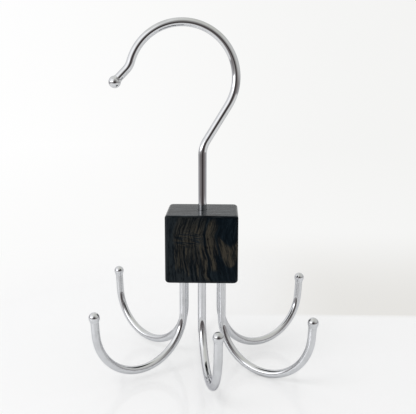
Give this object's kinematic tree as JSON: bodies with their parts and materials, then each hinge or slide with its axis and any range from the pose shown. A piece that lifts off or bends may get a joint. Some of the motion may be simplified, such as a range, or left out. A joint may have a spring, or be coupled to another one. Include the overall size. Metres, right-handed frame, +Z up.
{
  "type": "rotating closet hook",
  "caption": "Swivel hook for a closet rod: a chromed crook carries a dark wooden block, which turns and holds a ring of ball-tipped J hooks for belts, scarves and bags.",
  "frame": {"origin": "on the swivel axis, where the closet rod touches the inside of the top hook's crown", "axes": "+Z up along the swivel axis, +X to the right as the block's front is seen, +Y from the front to the back"},
  "size_m": [0.1147, 0.1366, 0.1865],
  "materials": {
    "chrome": "polished chrome plate",
    "dark_wood": "black-stained open-grain wood under satin lacquer",
    "zinc_steel": "bright zinc plate",
    "nylon": "natural nylon"
  },
  "bodies": {
    "hanger": {"top_hook": "chrome", "top_ball": "chrome", "thrust_washer": "zinc_steel", "swivel_nut": "zinc_steel", "lock_nut": "zinc_steel"},
    "carrier": {"block": "dark_wood", "swivel_bush": "nylon", "hook_front": "chrome", "hook_front_right": "chrome", "hook_back_right": "chrome", "hook_back": "chrome", "hook_back_left": "chrome", "hook_front_left": "chrome", "ball_front": "chrome", "ball_front_right": "chrome", "ball_back_right": "chrome", "ball_back": "chrome", "ball_back_left": "chrome", "ball_front_left": "chrome"}
  },
  "joints": [
    {"name": "block_swivel", "type": "hinge", "parent": "hanger", "child": "carrier", "pos_m": [0, 0, 0], "axis": [0, 0, 1], "continuous": true}
  ]
}
